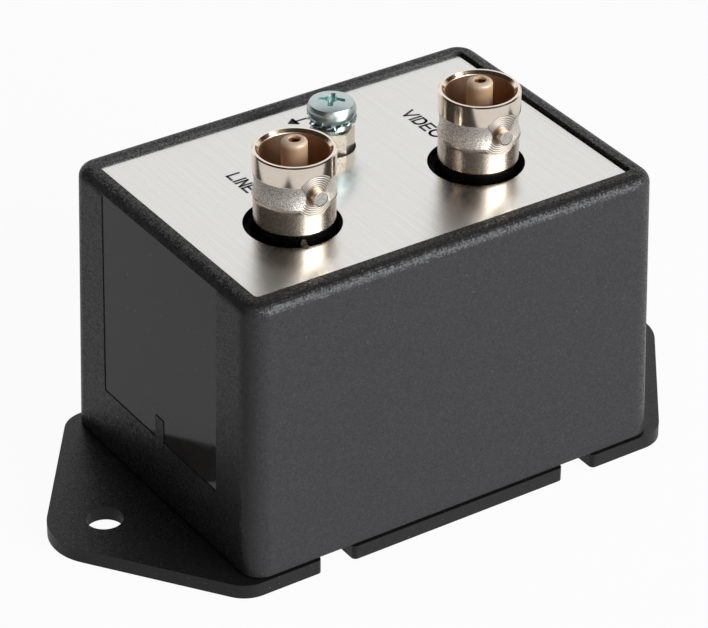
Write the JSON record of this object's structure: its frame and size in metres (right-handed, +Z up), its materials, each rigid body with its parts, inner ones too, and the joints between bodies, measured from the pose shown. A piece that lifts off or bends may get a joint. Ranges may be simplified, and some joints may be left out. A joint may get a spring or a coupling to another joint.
{
  "type": "lightning arrestor",
  "caption": "Black moulded box with two mounting ears, two bayonet coaxial connectors and a ground screw terminal on its brushed metal face.",
  "frame": {"origin": "centre of the base plate's outline, on its underside", "axes": "+X along the length from the line connector to the equipment connector, +Y across the width from the connectors to the ground terminal, +Z up, out of the face plate"},
  "size_m": [0.0856, 0.0416, 0.0481],
  "materials": {
    "enclosure_plastic": "fine moulded texture",
    "base_plastic": "fine moulded texture, slightly glossier",
    "zinc_steel": "bright zinc plate",
    "brushed_aluminium": "brushed across its length",
    "nickel": "nickel plate, bright at the bands, dull at the waist",
    "insulator": "smooth",
    "gold": "gold plate",
    "nickel_post": "nickel plate",
    "washer_steel": "bright plate",
    "board": "solder mask",
    "copper": "bare copper",
    "ceramic": "glazed",
    "tinned_metal": "tinned",
    "resistor_body": "lacquered",
    "diode_body": "moulded"
  },
  "bodies": {
    "housing": {"enclosure": "enclosure_plastic", "base_plate": "base_plastic", "base_screws": "zinc_steel", "face_plate": "brushed_aluminium", "line_jack_shell": "nickel", "line_jack_insulator": "insulator", "line_jack_contact": "gold", "equipment_jack_shell": "nickel", "equipment_jack_insulator": "insulator", "equipment_jack_contact": "gold", "ground_post": "nickel_post", "ground_post_screw": "zinc_steel", "circuit_board": "board", "board_screws": "zinc_steel", "ground_bar": "copper", "gas_tube_body": "ceramic", "gas_tube_electrodes": "tinned_metal", "series_resistor": "resistor_body", "clamp_diode": "diode_body", "steering_diodes": "diode_body"},
    "washer": {"toothed_washer": "washer_steel", "split_washer": "washer_steel"},
    "screw": {"terminal_screw": "zinc_steel"}
  },
  "joints": [
    {"name": "screw_lift", "type": "slide", "parent": "housing", "child": "washer", "axis": [0, 0, 1], "range_m": [0, 0.00254]},
    {"name": "screw_turn", "type": "hinge", "parent": "washer", "child": "screw", "pos_m": [0, 0.0069, 0.04135], "axis": [0, 0, 1], "range_deg": [0, 1440]}
  ],
  "couplings": [
    {"joint": "screw_turn", "follows": "screw_lift", "rad_per_m": 9894.7}
  ]
}
